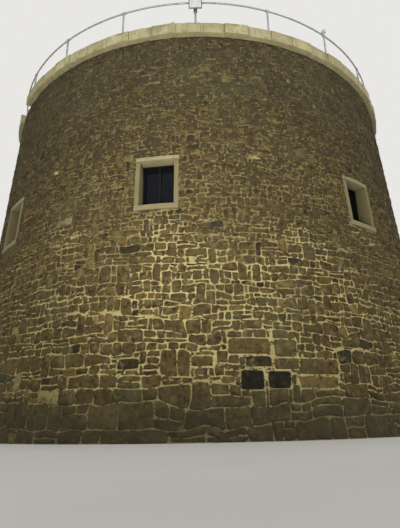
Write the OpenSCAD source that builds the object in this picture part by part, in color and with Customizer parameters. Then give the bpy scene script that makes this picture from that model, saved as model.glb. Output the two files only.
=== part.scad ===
/* [Tower] */
// Height of the wall from the ground to the underside of the coping
wall_h = 9000; // [8600:10:9400]
// Radius of the wall's face under the coping
wall_top_r = 5850; // [5700:10:6000]
// How far the wall's face spreads outward from there down to the ground
batter = 550; // [450:10:650]
// Thickness of the wall at the ground
wall_t = 2500; // [2300:10:2700]

/* [Floors and roof] */
// Height of the first floor's top
floor_z = 3600; // [3400:10:3800]
// Thickness of the first floor
floor_t = 250; // [180:10:320]
// Width of the ledge that carries the first floor
floor_ledge = 100; // [60:5:150]
// Height of the vault's springing
spring_z = 6400; // [6200:10:6600]
// Rise of the vault from its springing to its crown
vault_rise = 950; // [700:10:1100]
// Width of the ledge that carries the vault
vault_ledge = 150; // [100:5:200]
// Height of the vault's flat back
vault_top_z = 7700; // [7600:10:7800]
// Thickness of the paved platform over the vault
platform_t = 250; // [180:10:300]
// Clearance round the floor, the vault and the platform
slab_gap = 1; // [0.5:0.5:4]
// Thickness of the parapet at its top
parapet_t = 1050; // [900:10:1200]

/* [Coping] */
// Height of the coping stones
coping_h = 300; // [240:5:360]
// How far the coping stands out from the wall
coping_out = 150; // [90:5:200]
// How far the coping stands in over the platform
coping_in = 50; // [0:5:90]
// Number of coping stones in place round the tower
coping_stones = 63; // [48:1:80]
// Width of the open joint between two coping stones
coping_joint = 12; // [4:1:20]
// How unevenly the coping stones stand out
coping_uneven = 14; // [0:1:25]
// Radius of the worn edge on the coping's outer arrises
coping_worn = 18; // [6:1:30]
// Angle from the front to the middle of the gap that missing coping leaves
missing_angle = -59.1; // [-120:0.1:120]
// Angle over which the coping is missing
missing_sweep = 8.7; // [5:0.1:14]

/* [Windows] */
// Height of the underside of the sills
sill_z = 4400; // [4350:10:4550]
// Angle of the left window from the front
left_window_angle = -49.5; // [-55:0.1:-45]
// Angle of the centre window from the front
centre_window_angle = -8.2; // [-12:0.1:-4]
// Angle of the right window from the front
right_window_angle = 37.4; // [33:0.1:42]
// Number of openings round the back, with the doorway in the middle
back_openings = 5; // [3:2:7]
// Width over the jamb stones
window_w = 930; // [860:5:1000]
// Height from the underside of the sill to the top of the lintel
window_h = 1270; // [1170:5:1320]
// Width of a jamb stone's face
jamb_w = 100; // [80:5:130]
// Height of a lintel's face
lintel_h = 90; // [70:5:130]
// Height of a sill's face
sill_h = 120; // [90:5:150]
// Depth from the wall's face to the back of the jambs, at mid height
reveal = 300; // [240:5:360]
// How far the dressed stones stand out from the rubble
dressed_out = 20; // [5:1:40]
// How far the sills stand out from the jambs
sill_out = 15; // [0:1:40]

/* [Casements] */
// Thickness of the casement frames
sash_t = 60; // [45:1:80]
// Width of casement frame that shows inside the reveal
sash_show = 28; // [15:1:45]
// Width of the meeting stile in the middle
meeting_w = 46; // [30:1:60]
// Thickness of the glass
glass_t = 6; // [4:1:10]

/* [Doorway] */
// Width of the doorway between its jambs
door_w = 900; // [800:5:950]
// Width of a door jamb's face
door_jamb_w = 140; // [100:5:160]
// Thickness of the plank door
door_t = 70; // [50:1:90]
// How far the door laps behind the jambs and the lintel
door_lap = 60; // [30:1:80]
// Gap under the door
door_gap = 8; // [4:1:15]
// Height of the door's threshold stone
threshold_h = 120; // [80:5:160]

/* [Guard rail] */
// Distance of the guard rail's ring behind the coping's outer face
rail_set_back = 170; // [150:5:400]
// Height of the rail's centre over the coping
rail_h = 770; // [600:10:900]
// Diameter of the rail's tube
rail_d = 44; // [30:1:60]
// Diameter of a rail post
post_d = 48; // [34:1:60]
// How far a post rises over the rail's centre
post_top = 34; // [28:1:50]
// Diameter of a post's foot plate
foot_d = 130; // [110:1:150]
// Thickness of a post's foot plate
foot_t = 10; // [6:1:16]
// Number of posts round the tower
posts = 20; // [12:1:32]
// Clearance between the rail and its posts
rail_gap = 0.3; // [0.1:0.1:0.8]

/* [Lamps] */
// Post that carries a small lamp, counted from the front
lamp_post = 2; // [1:1:3]
// Angle of the small lamp on the coping from the front
coping_lamp_angle = -5.4; // [-10:0.1:-2]
// Diameter of a small lamp
lamp_d = 120; // [90:1:160]
// Length of a small lamp
lamp_len = 110; // [80:1:150]
// Height of a small lamp's stem
lamp_stem = 30; // [10:1:60]
// Width of the flood lamp
flood_w = 320; // [260:5:380]
// Height of the flood lamp
flood_h = 230; // [180:5:280]
// Depth of the flood lamp
flood_t = 110; // [80:5:140]
// Lean of the flood lamp out over the wall
flood_lean = 25; // [0:1:35]
// Height of the flood lamp's centre over the coping
flood_up = 520; // [420:10:560]
// Distance of the flood lamp's centre in front of its post
flood_out = 190; // [170:5:260]
// Width and depth of the clamp that holds the flood lamp on its post
clamp_w = 90; // [80:1:100]
// Height of the clamp
clamp_h = 60; // [40:1:80]
// Diameter of the flood lamp's arm
arm_d = 30; // [20:1:40]

/* [Roof drain] */
// Angle of the drain hole from the front
drain_angle = 50; // [44:0.5:56]
// Width and height of the drain hole
drain_w = 120; // [90:5:150]
// How far the drain falls on its way out
drain_fall = 130; // [60:5:180]

/* [Hidden] */
$fn = 360;

e = 1;
segment = 45;
base_r = wall_top_r + batter;
room_r = base_r - wall_t;
parapet_inner_r = wall_top_r - parapet_t;
lintel_z = sill_z + window_h;
clear_w = window_w - 2 * jamb_w;
clear_z0 = sill_z + sill_h;
clear_z1 = lintel_z - lintel_h;
platform_z = vault_top_z + platform_t;
coping_r = wall_top_r + coping_out;
rail_r = coping_r - rail_set_back;
outside = base_r + coping_out;
coping_z = wall_h + coping_h;
mid_z = (clear_z0 + clear_z1) / 2;
sash_y = wall_r(mid_z) - reveal;
door_over = door_w + 2 * door_jamb_w;
vault_r = (room_r * room_r + vault_rise * vault_rise) / (2 * vault_rise);
vault_z = spring_z + vault_rise - vault_r;
back_step = (360 - right_window_angle + left_window_angle) / (back_openings + 1);
back_angles = [for (i = [1 : back_openings]) right_window_angle + i * back_step];
door_index = floor(back_openings / 2);
door_angle = back_angles[door_index];
window_angles = concat(
    [left_window_angle, centre_window_angle, right_window_angle],
    [for (i = [0 : back_openings - 1]) if (i != door_index) back_angles[i]]
);
stone_step = (360 - missing_sweep) / coping_stones;
first_joint = missing_angle + missing_sweep / 2;
rail_z = coping_z + rail_h;
post_step = 360 / posts;

rubble = "#6b6046";
dressed = "#c9bc93";
paving = "#8b8474";
timber = "#6a4a30";
joinery = "#2e3338";
iron = "#5d6266";

// Radius of the battered wall face at a height
function wall_r(z) = base_r - batter * z / wall_h;

// How far one coping stone stands out past or short of the ring
function uneven(k) = coping_uneven * sin(k * 137.5 + 20);

// Puts a piece that is drawn at the front at an angle round the tower
module at_angle(angle) {
    rotate([0, 0, angle]) children();
}

// Part of a ring from one angle over a sweep, from a profile of radius and height
module arc(from, sweep) {
    rotate([0, 0, from - 90]) rotate_extrude(angle = sweep) children();
}

// Box at the front, from a near to a far radius
module radial_box(w, near, far, z0, z1) {
    translate([-w / 2, -far, z0]) cube([w, far - near, z1 - z0]);
}

// Solid cone of the wall's face, grown outward
module wall_cone(out, z0, z1) {
    rotate_extrude() polygon([
        [0, z0], [wall_r(z0) + out, z0], [wall_r(z1) + out, z1], [0, z1]
    ]);
}

module lower_wall(middle) {
    arc(middle - segment / 2, segment) polygon([
        [room_r - floor_ledge, 0], [base_r, 0], [wall_r(sill_z), sill_z], [room_r, sill_z],
        [room_r, floor_z - floor_t], [room_r - floor_ledge, floor_z - floor_t]
    ]);
}

// Passage of the doorway and the seat of its threshold stone
module door_cut() {
    at_angle(door_angle) {
        radial_box(door_over, 0, outside, floor_z, sill_z + e);
        radial_box(door_over, sash_y, outside, floor_z - threshold_h, floor_z + e);
    }
}

module lower_wall_front() { color(rubble) lower_wall(0); }
module lower_wall_front_right() { color(rubble) lower_wall(45); }
module lower_wall_right() { color(rubble) lower_wall(90); }
module lower_wall_rear_right() { color(rubble) lower_wall(135); }
module lower_wall_rear() {
    color(rubble) difference() {
        lower_wall(180);
        door_cut();
    }
}
module lower_wall_rear_left() { color(rubble) lower_wall(225); }
module lower_wall_left() { color(rubble) lower_wall(270); }
module lower_wall_front_left() { color(rubble) lower_wall(315); }

// The ring between sill and lintel level, parted by the openings
module window_piers() {
    color(rubble) difference() {
        rotate_extrude() polygon([
            [room_r, sill_z], [wall_r(sill_z), sill_z],
            [wall_r(lintel_z), lintel_z], [room_r, lintel_z]
        ]);
        for (angle = window_angles) at_angle(angle)
            radial_box(window_w, 0, outside, sill_z - e, lintel_z + e);
        at_angle(door_angle)
            radial_box(door_over, 0, outside, sill_z - e, lintel_z + e);
    }
}

module upper_wall(middle) {
    arc(middle - segment / 2, segment) polygon([
        [room_r, lintel_z], [wall_r(lintel_z), lintel_z], [wall_r(vault_top_z), vault_top_z],
        [room_r + vault_ledge, vault_top_z], [room_r + vault_ledge, spring_z], [room_r, spring_z]
    ]);
}

module upper_wall_front() { color(rubble) upper_wall(0); }
module upper_wall_front_right() { color(rubble) upper_wall(45); }
module upper_wall_right() { color(rubble) upper_wall(90); }
module upper_wall_rear_right() { color(rubble) upper_wall(135); }
module upper_wall_rear() { color(rubble) upper_wall(180); }
module upper_wall_rear_left() { color(rubble) upper_wall(225); }
module upper_wall_left() { color(rubble) upper_wall(270); }
module upper_wall_front_left() { color(rubble) upper_wall(315); }

module parapet(middle) {
    arc(middle - segment / 2, segment) polygon([
        [parapet_inner_r, vault_top_z], [wall_r(vault_top_z), vault_top_z],
        [wall_top_r, wall_h], [parapet_inner_r, wall_h]
    ]);
}

// Sloping channel that takes rain from the platform out through the parapet
module drain_cut() {
    run = wall_r(platform_z) - parapet_inner_r;
    at_angle(drain_angle) translate([0, -parapet_inner_r, platform_z])
        rotate([atan(drain_fall / run), 0, 0])
            translate([-drain_w / 2, -2 * run, 0]) cube([drain_w, 2 * run + drain_w, drain_w]);
}

module parapet_front() { color(rubble) parapet(0); }
module parapet_front_right() {
    color(rubble) difference() {
        parapet(45);
        drain_cut();
    }
}
module parapet_right() { color(rubble) parapet(90); }
module parapet_rear_right() { color(rubble) parapet(135); }
module parapet_rear() { color(rubble) parapet(180); }
module parapet_rear_left() { color(rubble) parapet(225); }
module parapet_left() { color(rubble) parapet(270); }
module parapet_front_left() { color(rubble) parapet(315); }

// One dressed stone of the coping, with worn outer arrises and half an open joint at each end
module coping_stone(k) {
    outer = coping_r + uneven(k);
    difference() {
        arc(first_joint + k * stone_step, stone_step) polygon([
            [parapet_inner_r - coping_in, wall_h], [outer - coping_worn, wall_h],
            [outer, wall_h + coping_worn], [outer, coping_z - coping_worn],
            [outer - coping_worn, coping_z], [parapet_inner_r - coping_in, coping_z]
        ]);
        for (side = [0, 1]) at_angle(first_joint + (k + side) * stone_step)
            radial_box(coping_joint, 0, outside, wall_h - e, coping_z + e);
    }
}

// The coping stones whose middles lie within a quarter of the ring
module coping_quarter(quarter) {
    color(dressed) for (k = [0 : coping_stones - 1]) {
        middle = first_joint + (k + 0.5) * stone_step;
        off = (middle - quarter + 540) % 360 - 180;
        if (off >= -45 && off < 45) coping_stone(k);
    }
}

module coping_front() { coping_quarter(0); }
module coping_right() { coping_quarter(90); }
module coping_rear() { coping_quarter(180); }
module coping_left() { coping_quarter(-90); }

module first_floor() {
    color(timber) translate([0, 0, floor_z - floor_t]) cylinder(r = room_r - slab_gap, h = floor_t);
}

// Masonry dome: flat on its back, hollowed below by a sphere that springs from the wall
module roof_vault() {
    color(rubble) difference() {
        translate([0, 0, spring_z])
            cylinder(r = room_r + vault_ledge - slab_gap, h = vault_top_z - spring_z);
        translate([0, 0, vault_z]) sphere(r = vault_r);
    }
}

module roof_platform() {
    color(paving) translate([0, 0, vault_top_z])
        cylinder(r = parapet_inner_r - slab_gap, h = platform_t);
}

// Dressed stone in the wall's face, cut to the batter
module faced_stone(w, z0, z1, out) {
    intersection() {
        radial_box(w, sash_y, outside, z0, z1);
        wall_cone(out, z0 - e, z1 + e);
    }
}

module sill_stones() {
    color(dressed) {
        for (angle = window_angles) at_angle(angle)
            faced_stone(window_w, sill_z, clear_z0, dressed_out + sill_out);
        at_angle(door_angle)
            faced_stone(door_over, floor_z - threshold_h, floor_z, dressed_out + sill_out);
    }
}

module jamb_pair(over, w, z0, z1) {
    difference() {
        faced_stone(over, z0, z1, dressed_out);
        radial_box(over - 2 * w, sash_y - e, outside, z0 - e, z1 + e);
    }
}

module jamb_stones() {
    color(dressed) {
        for (angle = window_angles) at_angle(angle)
            jamb_pair(window_w, jamb_w, clear_z0, clear_z1);
        at_angle(door_angle) jamb_pair(door_over, door_jamb_w, floor_z, clear_z1);
    }
}

module lintel_stones() {
    color(dressed) {
        for (angle = window_angles) at_angle(angle)
            faced_stone(window_w, clear_z1, lintel_z, dressed_out);
        at_angle(door_angle) faced_stone(door_over, clear_z1, lintel_z, dressed_out);
    }
}

// Upright members of the two-leaf casements, the outer ones hidden behind the jambs
module casement_stiles() {
    stile = jamb_w + sash_show;
    color(joinery) for (angle = window_angles) at_angle(angle) {
        for (x = [-window_w / 2, window_w / 2 - stile, -meeting_w / 2])
            translate([x, -sash_y, sill_z])
                cube([x == -meeting_w / 2 ? meeting_w : stile, sash_t, window_h]);
    }
}

module casement_rails() {
    pane_w = clear_w / 2 - sash_show - meeting_w / 2;
    color(joinery) for (angle = window_angles, side = [-1, 1]) at_angle(angle)
        translate([side * (meeting_w + pane_w) / 2 - pane_w / 2, -sash_y, 0]) {
            translate([0, 0, sill_z]) cube([pane_w, sash_t, sill_h + sash_show]);
            translate([0, 0, clear_z1 - sash_show]) cube([pane_w, sash_t, lintel_h + sash_show]);
        }
}

module window_glass() {
    pane_w = clear_w / 2 - sash_show - meeting_w / 2;
    color("#10161d") for (angle = window_angles, side = [-1, 1]) at_angle(angle)
        translate([side * (meeting_w + pane_w) / 2 - pane_w / 2, (sash_t - glass_t) / 2 - sash_y, clear_z0 + sash_show])
            cube([pane_w, glass_t, clear_z1 - clear_z0 - 2 * sash_show]);
}

module door_leaf() {
    w = door_w + 2 * door_lap;
    color(timber) at_angle(door_angle)
        translate([-w / 2, -sash_y, floor_z + door_gap])
            cube([w, door_t, clear_z1 + door_lap - floor_z - door_gap]);
}

// Curved rail in one length from each post to the next
module guard_rail() {
    end_angle = asin((post_d / 2 + rail_gap) / rail_r);
    color(iron) for (i = [0 : posts - 1]) arc(i * post_step + end_angle, post_step - 2 * end_angle)
        translate([rail_r, rail_z]) circle(d = rail_d, $fn = 64);
}

// Posts, each on a round foot plate that is bedded on the coping
module rail_posts() {
    color(iron) for (i = [0 : posts - 1]) at_angle(i * post_step) translate([0, -rail_r, coping_z]) {
        cylinder(d = foot_d, h = foot_t, $fn = 64);
        cylinder(d = post_d, h = rail_h + post_top, $fn = 64);
    }
}

// Drum lamp on a short stem, drawn over the point that it stands on
module small_lamp(stem) {
    cylinder(d = post_d, h = stem + lamp_d / 2, $fn = 64);
    translate([0, lamp_len / 2, stem + lamp_d / 2]) rotate([90, 0, 0])
        cylinder(d = lamp_d, h = lamp_len, $fn = 64);
}

// One lamp stands on the coping and one on the head of a post
module rail_lamps() {
    color("#d9d4c4") {
        at_angle(coping_lamp_angle) translate([0, -rail_r, coping_z]) small_lamp(lamp_stem);
        at_angle(lamp_post * post_step) translate([0, -rail_r, rail_z + post_top]) small_lamp(lamp_stem);
    }
}

// Flood lamp on an arm that is clamped round the front post, leaning out over the wall
module flood_lamp() {
    color("#4a4f52") translate([0, -rail_r, coping_z + flood_up]) difference() {
        union() {
            translate([-clamp_w / 2, -clamp_w / 2, -clamp_h / 2]) cube([clamp_w, clamp_w, clamp_h]);
            rotate([90, 0, 0]) cylinder(d = arm_d, h = flood_out, $fn = 64);
            translate([0, -flood_out, 0]) rotate([flood_lean, 0, 0])
                translate([-flood_w / 2, -flood_t / 2, -flood_h / 2]) cube([flood_w, flood_t, flood_h]);
        }
        translate([0, 0, -clamp_h / 2 - e])
            cylinder(d = post_d + 2 * rail_gap, h = clamp_h + 2 * e, $fn = 64);
    }
}

lower_wall_front();
lower_wall_front_right();
lower_wall_right();
lower_wall_rear_right();
lower_wall_rear();
lower_wall_rear_left();
lower_wall_left();
lower_wall_front_left();
window_piers();
upper_wall_front();
upper_wall_front_right();
upper_wall_right();
upper_wall_rear_right();
upper_wall_rear();
upper_wall_rear_left();
upper_wall_left();
upper_wall_front_left();
parapet_front();
parapet_front_right();
parapet_right();
parapet_rear_right();
parapet_rear();
parapet_rear_left();
parapet_left();
parapet_front_left();
coping_front();
coping_right();
coping_rear();
coping_left();
first_floor();
roof_vault();
roof_platform();
sill_stones();
jamb_stones();
lintel_stones();
casement_stiles();
casement_rails();
window_glass();
door_leaf();
guard_rail();
rail_posts();
rail_lamps();
flood_lamp();
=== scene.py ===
"""Dresses the martello tower: rubble stones in lime mortar, a worn coping and window surrounds, paving,
casements, a plank door, the guard rail's fittings and the lamps. Lengths are in metres, and an angle
round the tower is counted from the front towards +X."""
import math

import bpy
import numpy as np
from mathutils import Matrix, Vector, noise


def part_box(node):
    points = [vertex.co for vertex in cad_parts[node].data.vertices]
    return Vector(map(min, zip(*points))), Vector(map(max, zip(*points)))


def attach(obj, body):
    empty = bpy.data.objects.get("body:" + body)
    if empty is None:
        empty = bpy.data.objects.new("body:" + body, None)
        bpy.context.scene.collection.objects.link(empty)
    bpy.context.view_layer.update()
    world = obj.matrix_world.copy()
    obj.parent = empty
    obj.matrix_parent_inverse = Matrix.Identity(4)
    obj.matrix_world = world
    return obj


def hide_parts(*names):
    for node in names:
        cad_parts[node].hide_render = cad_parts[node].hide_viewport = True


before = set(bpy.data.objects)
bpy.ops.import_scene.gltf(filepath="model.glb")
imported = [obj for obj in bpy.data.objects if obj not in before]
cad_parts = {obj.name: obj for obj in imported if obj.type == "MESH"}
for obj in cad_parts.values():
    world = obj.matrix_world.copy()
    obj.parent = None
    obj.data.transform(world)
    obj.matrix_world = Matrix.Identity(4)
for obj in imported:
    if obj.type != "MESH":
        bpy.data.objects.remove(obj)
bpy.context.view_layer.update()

# Camera, in the photograph's own pixels where a name says so
PHOTO_H_PX = 528
FOCAL_PX = 465
SENSOR_MM = 24
CAMERA_AT = Vector((0, -14.585, 0.338))
CAMERA_PITCH = 0.3265
CAMERA_ROLL = -0.0182
CAMERA_REACH = 300


def add_object(name, data):
    """A new object in the scene."""
    thing = bpy.data.objects.new(name, data)
    bpy.context.scene.collection.objects.link(thing)
    return thing


def add_camera():
    ahead = Vector((0, math.cos(CAMERA_PITCH), math.sin(CAMERA_PITCH)))
    right = Vector((1, 0, 0))
    up = right.cross(ahead)
    turn = Matrix.Rotation(-CAMERA_ROLL, 3, ahead)
    axes = (turn @ right, turn @ up, -ahead)
    camera = add_object("camera", bpy.data.cameras.new("camera"))
    camera.matrix_world = Matrix.Translation(CAMERA_AT) @ Matrix(axes).transposed().to_4x4()
    camera.data.sensor_fit = "VERTICAL"
    camera.data.sensor_height = SENSOR_MM
    camera.data.lens = SENSOR_MM * FOCAL_PX / PHOTO_H_PX
    camera.data.clip_end = CAMERA_REACH
    bpy.context.scene.camera = camera


add_camera()


# Sizes read from the frame

def corners(node):
    """The corner points of a CAD node."""
    return np.array([v.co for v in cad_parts[node].data.vertices])


def solids(node):
    """The corner points of each solid of a CAD node."""
    points = corners(node)
    same = np.unique(np.round(points, 4), axis=0, return_inverse=True)[1].ravel()
    ends = same[np.array([tuple(e.vertices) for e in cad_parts[node].data.edges])]
    label = np.arange(same.max() + 1)
    while True:
        low = label[ends].min(axis=1)
        spread = label.copy()
        np.minimum.at(spread, ends[:, 0], low)
        np.minimum.at(spread, ends[:, 1], low)
        if (spread == label).all():
            return [points[label[same] == k] for k in np.unique(label)]
        label = spread


def turned_to_front(points, angle):
    """Points turned back by an angle: across to the right, out from the axis, and up."""
    a = math.radians(angle)
    across = points[:, 0] * math.cos(a) + points[:, 1] * math.sin(a)
    out = points[:, 0] * math.sin(a) - points[:, 1] * math.cos(a)
    return np.stack([across, out, points[:, 2]], axis=1)


def angle_of(points):
    """Angle of the middle of some points round the tower, in degrees."""
    middle = (points.min(axis=0) + points.max(axis=0)) / 2
    return math.degrees(math.atan2(middle[0], -middle[1]))


def extent(points):
    """Angle of a solid round the tower, and its least and greatest across, out and up."""
    angle = angle_of(points)
    local = turned_to_front(points, angle)
    return angle, local.min(axis=0), local.max(axis=0)


def radii(node, z):
    """Least and largest radius of a CAD node at a height."""
    points = corners(node)
    level = points[np.abs(points[:, 2] - z) < 0.001]
    found = np.hypot(level[:, 0], level[:, 1])
    return float(found.min()), float(found.max())


def top_of(node):
    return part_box(node)[1].z


WALL_TOP = top_of("parapet_front")
FOOT_R = radii("lower_wall_front", 0)[1]
PARAPET_R, TOP_R = radii("parapet_front", WALL_TOP)
PLATFORM_Z = top_of("roof_platform")
PLATFORM_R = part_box("roof_platform")[1].x
FLOOR_Z = top_of("first_floor")
FLOOR_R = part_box("first_floor")[1].x
COPING_Z = top_of("coping_front")
LINTEL_Z = top_of("lintel_stones")
# The rail's ring, from the foot plate of the front post
PLATE_R = 0.065
RAIL_R = -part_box("rail_posts")[0].y - PLATE_R


def wall_r(z):
    """Radius of the battered wall's face at a height."""
    return FOOT_R - (FOOT_R - TOP_R) * z / WALL_TOP


# Each window and the doorway, from its sill: angle, half width, foot and head
OPENINGS = [(angle, (high[0] - low[0]) / 2, low[2], LINTEL_Z)
            for angle, low, high in map(extent, solids("sill_stones"))]


# Places

def at_radius(angle, r, z):
    """Points at some angles in radians, radii and heights."""
    return np.stack([r * np.sin(angle), -r * np.cos(angle), z], axis=1)


def shift(x=0, y=0, z=0):
    return Matrix.Translation((x, y, z))


def turn(degrees, axis):
    return Matrix.Rotation(math.radians(degrees), 4, axis)


def at_angle(angle, out, z):
    """Matrix of a place round the tower: x across, y inward, z up."""
    return turn(angle, "Z") @ shift(0, -out, z)


def placed_by(matrix):
    """A place function that puts local points by a matrix."""
    rotation, move = np.array(matrix.to_3x3()), np.array(matrix.translation)
    return lambda x, y, z: np.stack([x, y, z], axis=1) @ rotation.T + move


def rectangle(x0, x1, y0, y1):
    return np.array([(x0, y0), (x1, y0), (x1, y1), (x0, y1)])


# Meshes that are gathered from many small pieces

# A relief's tilt and crown by its roughness, and its middle's stray and least face by its size
TILT, CROWN, STRAY, LEAST_FACE = 1.2, 0.3, 0.08, 0.3
# A block's wear, as waves in a metre and share of each, and its chips, as deep as a share of their reach
WEAR = ((7, 0.6), (21, 0.4))
CHIP_REACH, CHIP_STRETCH, CHIP_DEPTH = (0.03, 0.08), (1.6, 1, 1), (0.2, 0.4)
# Radius at which a turned shape closes on its axis
TIP = 0.0001


class Parts:
    """Points, faces and point values of one piece of the model."""

    def __init__(self):
        self.points, self.faces, self.values, self.count = [], [], {}, 0

    def add(self, points, faces, **values):
        points = np.asarray(points, float)
        self.points.append(points)
        self.faces += [tuple(i + self.count for i in f) for f in faces]
        for name, value in values.items():
            self.values.setdefault(name, []).append(np.broadcast_to(value, len(points)))
        self.count += len(points)

    def build(self, name, material, slot, sharp=None, replaces=()):
        mesh = bpy.data.meshes.new(name)
        mesh.from_pydata(np.concatenate(self.points).tolist(), [], self.faces)
        for key, value in self.values.items():
            mesh.attributes.new(key, "FLOAT", "POINT").data.foreach_set(
                "value", np.concatenate(value).astype(np.float32))
        mesh.shade_smooth()
        if sharp:
            mesh.set_sharp_from_angle(angle=math.radians(sharp))
        mesh.materials.append(material)
        piece = add_object(name, mesh)
        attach(piece, "root")
        if replaces:
            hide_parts(*replaces)


def add_relief(parts, rng, outline, place, proud, bevel, sunk=0.012, rough=0.004, flip=False, plain=False,
               **values):
    """A low stone, flag or board on an outline, sunk at its rim. A plain one has no ring half way up."""
    middle = (outline.min(axis=0) + outline.max(axis=0)) / 2
    half = np.ptp(outline, axis=0) / 2
    n = len(outline)
    tilt = rng.normal(0, TILT * rough, 2) / half
    rings = [(0, -sunk, 0), (0.25 * bevel, 0.5 * proud, 0), (bevel, proud, 1)]
    if plain:
        rings.pop(1)
    rows, rims = [], []
    for inset, depth, rim in rings:
        ring = middle + (outline - middle) * np.maximum(1 - inset / half, LEAST_FACE)
        wobble = rng.normal(0, rough, n) + (ring - middle) @ tilt if rim else np.zeros(n)
        rows.append(place(ring[:, 0], ring[:, 1], depth + wobble))
        rims.append(np.full(n, rim))
    hub = middle + rng.normal(0, STRAY, 2) * half
    rows.append(place(hub[:1], hub[1:], np.array([proud + rng.normal(CROWN, 1) * rough])))
    rims.append([1])
    last = n * (len(rings) - 1)
    faces = []
    for i in range(n):
        j = (i + 1) % n
        faces += [(k + i, k + j, k + n + j, k + n + i) for k in range(0, last, n)]
        faces.append((last + i, last + j, last + n))
    if flip:
        faces = [f[::-1] for f in faces]
    parts.add(np.concatenate(rows), faces, rim=np.concatenate(rims), **values)


def box_faces(counts):
    """Lattice indices on the surface of a box, and its faces, for some numbers of cells."""
    index, faces = {}, []
    for a in range(3):
        b, c = (a + 1) % 3, (a + 2) % 3
        for side in (0, counts[a]):
            for i in range(counts[b]):
                for j in range(counts[c]):
                    quad = []
                    for di, dj in ((0, 0), (1, 0), (1, 1), (0, 1)):
                        key = [0, 0, 0]
                        key[a], key[b], key[c] = side, i + di, j + dj
                        quad.append(index.setdefault(tuple(key), len(index)))
                    faces.append(tuple(quad if side else quad[::-1]))
    return np.array(list(index)), faces


def rounded_box(size, cells, radius):
    """Points and faces of a box with round arrises, and the way out from each point."""
    axes = [np.concatenate([[0, 0.4 * radius], np.linspace(radius, s - radius, n + 1), [s - 0.4 * radius, s]])
            for s, n in zip(size, cells)]
    places, faces = box_faces([len(a) - 1 for a in axes])
    points = np.stack([axes[k][places[:, k]] for k in range(3)], axis=1)
    inner = np.clip(points, radius, size - radius)
    out = points - inner
    out /= np.linalg.norm(out, axis=1, keepdims=True)
    return inner + out * radius, faces, out


def add_block(parts, rng, size, cells, place, radius, rough=0.0, chips=0, **values):
    """A dressed block with worn arrises. Its own axes run across, inward from its face, and up."""
    size = np.array(size)
    points, faces, out = rounded_box(size, cells, min(radius, 0.45 * size.min()))
    start = Vector(rng.uniform(0, 90, 3))
    dent = np.array([sum(share * noise.noise(Vector(p) * often + start) for often, share in WEAR)
                     for p in points])
    points -= out * (rough * (0.6 + dent))[:, None]
    for _ in range(chips):
        spot = size * np.array([rng.uniform(0, 1), 0, rng.integers(0, 2)])
        reach = rng.uniform(*CHIP_REACH)
        near = np.clip(1 - np.linalg.norm((points - spot) / CHIP_STRETCH, axis=1) / reach, 0, 1)
        inward = np.array([0, 1, -1 if spot[2] else 1]) / math.sqrt(2)
        points += (near * reach * rng.uniform(*CHIP_DEPTH))[:, None] * inward
    parts.add(place(*points.T), faces, **values)


def add_turning(parts, profile, matrix, steps=20, **values):
    """A turned shape, put by a matrix: the profile's points are radius and height."""
    profile = np.array(profile, float)
    a = np.arange(steps) / steps * 2 * math.pi
    x, y = np.outer(profile[:, 0], np.cos(a)), np.outer(profile[:, 0], np.sin(a))
    z = np.repeat(profile[:, 1:], steps, axis=1)
    faces = [(k + j, k + (j + 1) % steps, k + steps + (j + 1) % steps, k + steps + j)
             for k in range(0, (len(profile) - 1) * steps, steps) for j in range(steps)]
    parts.add(placed_by(matrix)(x.ravel(), y.ravel(), z.ravel()), faces, **values)


# Rubble masonry

# Points round the wall where a bed's height is worked out
SAMPLES = 4096
HALF_JOINT = (0.005, 0.013)
# Courses: height as a share of the mean, least height, and least height of the last
COURSE_SPREAD, LEAST_COURSE, LAST_COURSE = (0.72, 1.35), 0.045, 0.09
# Waves of the beds, as knots round the tower and reach, and how far from foot and head they run in full
DRIFT, DRIFT_STEPS = (14, 0.16), 5
BED_WAVE = (34, 0.30)
SMALL_WAVES = ((110, 0.27), (220, 0.17))
BED_CALM = 0.25
# Stones up to a height and above: mean and spread of the log of width over height, least and most width
FOOT_TOP = 1.6
FOOT_STONES = (0.40, 0.33, 0.20, 0.70)
WALL_STONES = (0.30, 0.42, 0.08, 0.42)
# Least room beside a stone, as a share of its width and as a length
SPARE_SHARE, SPARE_ROOM = 1.45, 0.1
# Chances, added up, of a stone through two courses and of a cell in two or three pieces
TALL_CHANCE, CUT_CHANCE = 0.14, 0.34
# Waves that bend the joints, as waves in a metre and reach. They fade out at holes and edges
WARPS = ((3.6, 0.030), (11.0, 0.014))
WARP_FADE = 0.12
# How far a stone's side joints, its beds and the middle of its sides stray
SIDE_STRAY, BED_STRAY, MIDDLE_STRAY = 0.010, 0.0035, 0.006
# Broken corners, as a share of each side and the most
CORNER_CUT, CORNER_MOST = (0.12, 0.42), 0.05
# Least width and height of a stone's cell
LEAST_STONE = (0.06, 0.045)


def wavy(rng, knots):
    """Smooth noise from -1 to 1 that joins up round the tower."""
    value = rng.uniform(-1, 1, knots)
    at = np.arange(SAMPLES) * knots / SAMPLES
    low = at.astype(int)
    part = at - low
    part = part * part * (3 - 2 * part)
    return value[low] * (1 - part) + value[(low + 1) % knots] * part


def outer_course(z):
    """Mean height of a course of the outer face: squared blocks at the foot, flat stones above."""
    return 0.091 + 0.21 * math.exp(-z / 1.7)


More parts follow.
